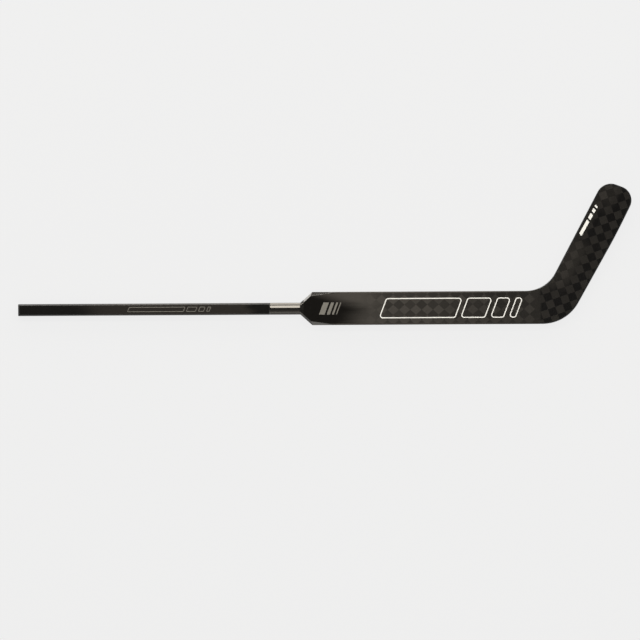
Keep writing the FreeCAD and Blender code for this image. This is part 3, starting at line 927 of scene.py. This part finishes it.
def neck_rings(sizes):
    """Yield the neck's sections from the shaft to the paddle, each as a ring of twelve corners."""
    x_start = X_JOINT + sizes.neck_blend
    x_end = -sizes.paddle_length / 2
    neck = (HALF_SHAFT, HALF_SHAFT - sizes.shoulder_bevel, sizes.neck_drop, sizes.shoulder_drop)
    slope, collar = shoulder_line(sizes)
    collar_crest = collar - sizes.shoulder_bevel * math.hypot(1, slope)
    for x, side, crest, drop, edge in (
            (X_JOINT, HALF_SHAFT, HALF_SHAFT - sizes.shaft_corner, 0.0, sizes.shaft_corner),
            (x_start, *neck),
            (x_start + sizes.neck_blend, *neck),
            (x_end - sizes.neck_blend, *neck),
            (x_end, *neck),
            (X_COLLAR, collar, collar_crest, 0.0, sizes.shoulder_drop)):
        quarter = [(sizes.neck_ridge / 2, 0.0), (crest, drop), (side, drop + edge)]
        half = quarter + [(y, THICKNESS - z) for y, z in reversed(quarter)]
        ring = half + [(-y, z) for y, z in reversed(half)]
        yield [Vector((x, y, z)) for y, z in ring]


class STICK_OT_neck(bpy.types.Operator):
    """Build the bevelled neck and its flared collar"""

    bl_idname = "stick.neck"
    bl_label = "Neck"

    def execute(self, context):
        sizes = sizes_of(context)
        bm = bmesh.new()
        rings = list(neck_rings(sizes))
        faces = [bm.faces.new([bm.verts.new(point) for point in rings[0]])]
        lines = [[vert] for vert in faces[0].verts]
        for ring in rings[1:]:
            grown = bmesh.ops.extrude_face_region(bm, geom=faces[-1:])["geom"]
            faces += [item for item in grown if isinstance(item, bmesh.types.BMFace)]
            for line, vert, point in zip(lines, faces[-1].verts, ring):
                vert.co = point
                line.append(vert)
        bmesh.ops.delete(bm, geom=faces[1:-1], context="FACES_ONLY")
        bmesh.ops.recalc_face_normals(bm, faces=bm.faces)
        ridge, crest, side = (0, 5, 6, 11), (1, 4, 7, 10), (2, 3, 8, 9)
        roundings = {crest: sizes.neck_crest, side: sizes.neck_side, ridge: sizes.neck_edge}
        for corners, rounding in roundings.items():
            edges = []
            for corner in corners:
                line = lines[corner]
                edges += [bm.edges.get(ends) for ends in zip(line, line[1:])]
            bevel_edges(bm, edges, rounding, ROUND_STEPS)
        sharpen = Vector((1, 1, 1)) * (sizes.neck_edge / sizes.neck_crest)
        reach = sizes.shoulder_bevel * SHARPEN_SHARE
        for corner in crest:
            point = rings[-1][corner]
            near = [vert for vert in bm.verts if (vert.co - point).length < reach]
            bmesh.ops.scale(bm, vec=sharpen, verts=near, space=Matrix.Translation(-point))
        make_piece(bm, "neck_fairing", neck_material(colours_of(context)), ["paddle_neck"])
        return {"FINISHED"}


def sandwich_body(sizes, plan):
    """Return the flat body of paddle and blade with round rims, its faces marked by piece."""
    bm = bmesh.new()
    raise_prism(bm, rounded_plan(bm, plan.corners()), THICKNESS)
    x_shoulder = sizes.shoulder_run - sizes.paddle_length / 2
    rim = []
    for edge in bm.edges:
        first, second = (vert.co for vert in edge.verts)
        if abs(first.z - second.z) < MERGE and min(first.x, second.x) > x_shoulder - MERGE:
            rim.append(edge)
    bevel_edges(bm, rim, sizes.rim_radius, ROUND_STEPS)
    faces = sorted(bm.faces, key=lambda face: face.calc_area())[-2:]
    border = sizes.rail_face - sizes.rim_radius
    for face in faces:
        face.material_index = FRONT if face.normal.z > 0 else REAR
        strips = bmesh.ops.inset_region(
            bm, faces=[face], thickness=border, use_even_offset=True, use_boundary=True)["faces"]
        # The strip along the collar stays with the skin
        for strip in strips:
            if strip.calc_center_median().x > X_COLLAR + border:
                strip.material_index = RAIL
    bmesh.ops.dissolve_edges(bm, edges=end_edges(bm, X_COLLAR + border))
    return bm


def shoulder_planes(sizes):
    """Yield the planes that bevel the shoulders and the edges below them, on all four sides."""
    wall = THICKNESS - sizes.shoulder_drop
    foot = Vector((-sizes.paddle_length / 2, HALF_SHAFT, wall))
    corner = Vector((foot.x + sizes.shoulder_run, HALF_PADDLE, wall))
    inward = (corner - foot).cross(UP).normalized()
    rise = UP * sizes.shoulder_drop
    crest = foot + inward * sizes.shoulder_bevel + rise
    fade_crest = corner + Vector((0, -sizes.fade_width, 0)) + rise
    fade_end = corner + Vector((sizes.fade_length, 0, 0)) + rise
    for first, second, third in ((foot, crest, corner), (corner, fade_crest, fade_end)):
        normal = (second - first).cross(third - first).normalized()
        for side in (1, -1):
            for height, lift in ((first.z, normal.z), (THICKNESS - first.z, -normal.z)):
                yield Vector((first.x, first.y * side, height)), Vector((normal.x, normal.y * side, lift))


def is_crest(edge):
    """Tell whether an edge lies between a bevel and a flat face, or between two bevels."""
    bevels = [face for face in edge.link_faces if face.material_index == BEVEL]
    flats = [face for face in edge.link_faces if abs(face.normal.z) > FLAT_SHARE]
    return bool(bevels) and len(bevels) + len(flats) == 2


def make_sandwich(bm, side, plan, weave, rails, shell):
    """Turn a marked body into two skins and two edge rails."""
    for mark, face_name in ((FRONT, "front"), (REAR, "rear")):
        skin = only_faces(bm, lambda face: face.material_index == mark)
        name = f"{side}_{face_name}"
        make_piece(skin, f"{name}_weave", weave, [f"{name}_skin"], shell)
    for upper, rail_name in ((True, "upper"), (False, "lower")):
        rail = only_faces(
            bm, lambda face: face.material_index in (RAIL, BEVEL)
            and plan.is_upper(face.calc_center_median()) == upper)
        name = f"{side}_{rail_name}"
        make_piece(rail, f"{name}_edge", rails, [f"{name}_rail"], shell)
    bm.free()


class STICK_OT_paddle(bpy.types.Operator):
    """Build the paddle's woven skins and its edge rails with bevelled shoulders"""

    bl_idname = "stick.paddle"
    bl_label = "Paddle"

    def execute(self, context):
        sizes = sizes_of(context)
        plan = BladePlan(sizes)
        bm = sandwich_body(sizes, plan)
        slice_off(bm, (X_SEAM, 0, 0), (1, 0, 0))
        for point, normal in shoulder_planes(sizes):
            cut = slice_off(bm, point, normal)
            made = bmesh.ops.contextual_create(bm, geom=cut)
            for face in made["faces"]:
                face.material_index = BEVEL
        bevel_edges(bm, [edge for edge in bm.edges if is_crest(edge)], sizes.neck_edge, CREST_STEPS)
        bmesh.ops.remove_doubles(bm, verts=bm.verts, dist=MERGE)
        split(bm, (0, 0, 0), (0, 1, 0))
        # The neck's collar closes this end
        collar_end = [face for face in bm.faces if face.calc_center_median().x < X_COLLAR + MERGE]
        bmesh.ops.delete(bm, geom=collar_end, context="FACES")
        colours = colours_of(context)
        weave = paddle_material(sizes, colours)
        rails = rail_material(colours)
        make_sandwich(bm, "paddle", plan, weave, rails, sizes.skin)
        return {"FINISHED"}


class STICK_OT_blade(bpy.types.Operator):
    """Build the blade's woven skins and edge rails and curve them"""

    bl_idname = "stick.blade"
    bl_label = "Blade"

    def execute(self, context):
        sizes = sizes_of(context)
        plan = BladePlan(sizes)
        bm = sandwich_body(sizes, plan)
        slice_off(bm, (X_SEAM, 0, 0), (-1, 0, 0))
        split(bm, plan.axis_corner, plan.across)
        for index in range(math.ceil(sizes.blade_length / BEND_STEP)):
            split(bm, plan.heel + plan.bend * (sizes.curve_start + index * BEND_STEP), plan.bend)
        for vert in bm.verts:
            vert.co = plan.curved(vert.co)
        colours = colours_of(context)
        weave = blade_material(sizes, colours, plan)
        rails = bpy.data.materials["edge_gloss"]
        make_sandwich(bm, "blade", plan, weave, rails, sizes.skin)
        return {"FINISHED"}


class STICK_OT_inside(bpy.types.Operator):
    """Give the foam cores, the heel block and the rib their finishes"""

    bl_idname = "stick.inside"
    bl_label = "Inside"

    def execute(self, context):
        sizes = sizes_of(context)
        colours = colours_of(context)
        core = foam_material("core_foam", colours.core, sizes.core_cell)
        cores = ("paddle_upper_core", "paddle_lower_core", "blade_upper_core", "blade_lower_core")
        finishes = {
            **dict.fromkeys(cores, core),
            "heel_block": foam_material("heel_foam", colours.heel, sizes.heel_cell),
            "blade_rib": bpy.data.materials["edge_gloss"],
        }
        for name, material in finishes.items():
            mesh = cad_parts[name].data
            mesh.materials.clear()
            mesh.materials.append(material)
        return {"FINISHED"}


def add_bar(bm, left, width, mark):
    """Draw one slanted bar with rounded corners, filled or as an outline."""
    right, low, high, lean = left + width, mark["low"], mark["high"], mark["lean"]
    points = [(left, low), (right, low), (right + lean, high), (left + lean, high)]
    face = rounded_plan(bm, [(Vector((x, y, 0)), mark["corner"]) for x, y in points])
    face.normal_update()
    if face.normal.z < 0:
        face.normal_flip()
    if mark["line"] > 0:
        bmesh.ops.inset_individual(bm, faces=[face], thickness=mark["line"], use_even_offset=True)
        bmesh.ops.delete(bm, geom=[face], context="FACES_ONLY")


class STICK_OT_markings(bpy.types.Operator):
    """Print plain rows of slanted bars on paddle, shoulder, shaft and blade"""

    bl_idname = "stick.markings"
    bl_label = "Markings"

    def execute(self, context):
        sizes = sizes_of(context)
        colours = colours_of(context)
        plan = BladePlan(sizes)
        inks = {
            "white": ink_material("white_ink", colours.white_ink, INK_ROUGHNESS["white"]),
            "grey": ink_material("grey_ink", colours.grey_ink, INK_ROUGHNESS["grey"]),
        }
        for name, mark in MARKS.items():
            bm = bmesh.new()
            left = mark["start"]
            for width in mark["widths"]:
                add_bar(bm, left, width, mark)
                left += width + mark["gap"]
            if mark["slot"] == "blade_weave":
                turn = Matrix.Rotation(sizes.blade_angle, 3, "Z")
                bmesh.ops.rotate(bm, verts=bm.verts, matrix=turn)
                bmesh.ops.translate(bm, verts=bm.verts, vec=plan.heel)
            bmesh.ops.translate(bm, verts=bm.verts, vec=UP * THICKNESS)
            for vert in bm.verts:
                vert.co = plan.curved(vert.co)
            make_piece(bm, name, inks[mark["ink"]], shell=sizes.ink, outside=True)
        return {"FINISHED"}


class STICK_OT_stage(bpy.types.Operator):
    """Set up the pale floor, the soft studio light and the camera"""

    bl_idname = "stick.stage"
    bl_label = "Stage"

    def execute(self, context):
        scene = context.scene
        scene.view_settings.view_transform = "Standard"
        build_floor(colours_of(context).floor)
        build_world(scene, colours_of(context).floor)
        build_lights(scene)
        build_camera(scene)
        return {"FINISHED"}


class STICK_PT_panel(bpy.types.Panel):
    """Lists the stick's sizes, colours and builders"""

    bl_idname = "STICK_PT_panel"
    bl_label = "Goalie Stick"
    bl_space_type = "VIEW_3D"
    bl_region_type = "UI"
    bl_category = "Goalie Stick"

    def draw(self, context):
        layout = self.layout
        for operator in OPERATORS:
            layout.operator(operator.bl_idname)
        for label, group in (("Sizes", sizes_of(context)), ("Colours", colours_of(context))):
            box = layout.box()
            box.label(text=label)
            for name in group.__annotations__:
                box.prop(group, name)


OPERATORS = (STICK_OT_cap, STICK_OT_grip, STICK_OT_neck, STICK_OT_paddle, STICK_OT_blade,
             STICK_OT_inside, STICK_OT_markings, STICK_OT_stage)
CLASSES = (StickSizes, StickColours, *OPERATORS, STICK_PT_panel)


def register():
    """Register the classes and hang their sizes and colours on the scene."""
    for item in CLASSES:
        bpy.utils.register_class(item)
    bpy.types.Scene.stick_sizes = bpy.props.PointerProperty(type=StickSizes)
    bpy.types.Scene.stick_colours = bpy.props.PointerProperty(type=StickColours)


def unregister():
    """Take everything off again."""
    del bpy.types.Scene.stick_colours
    del bpy.types.Scene.stick_sizes
    for item in reversed(CLASSES):
        bpy.utils.unregister_class(item)


def main():
    """Build the stick and its stage."""
    register()
    build_tow_weave()
    build_handling()
    bpy.ops.stick.cap()
    bpy.ops.stick.grip()
    bpy.ops.stick.neck()
    bpy.ops.stick.paddle()
    bpy.ops.stick.blade()
    bpy.ops.stick.inside()
    bpy.ops.stick.markings()
    bpy.ops.stick.stage()


if __name__ == "__main__":
    main()
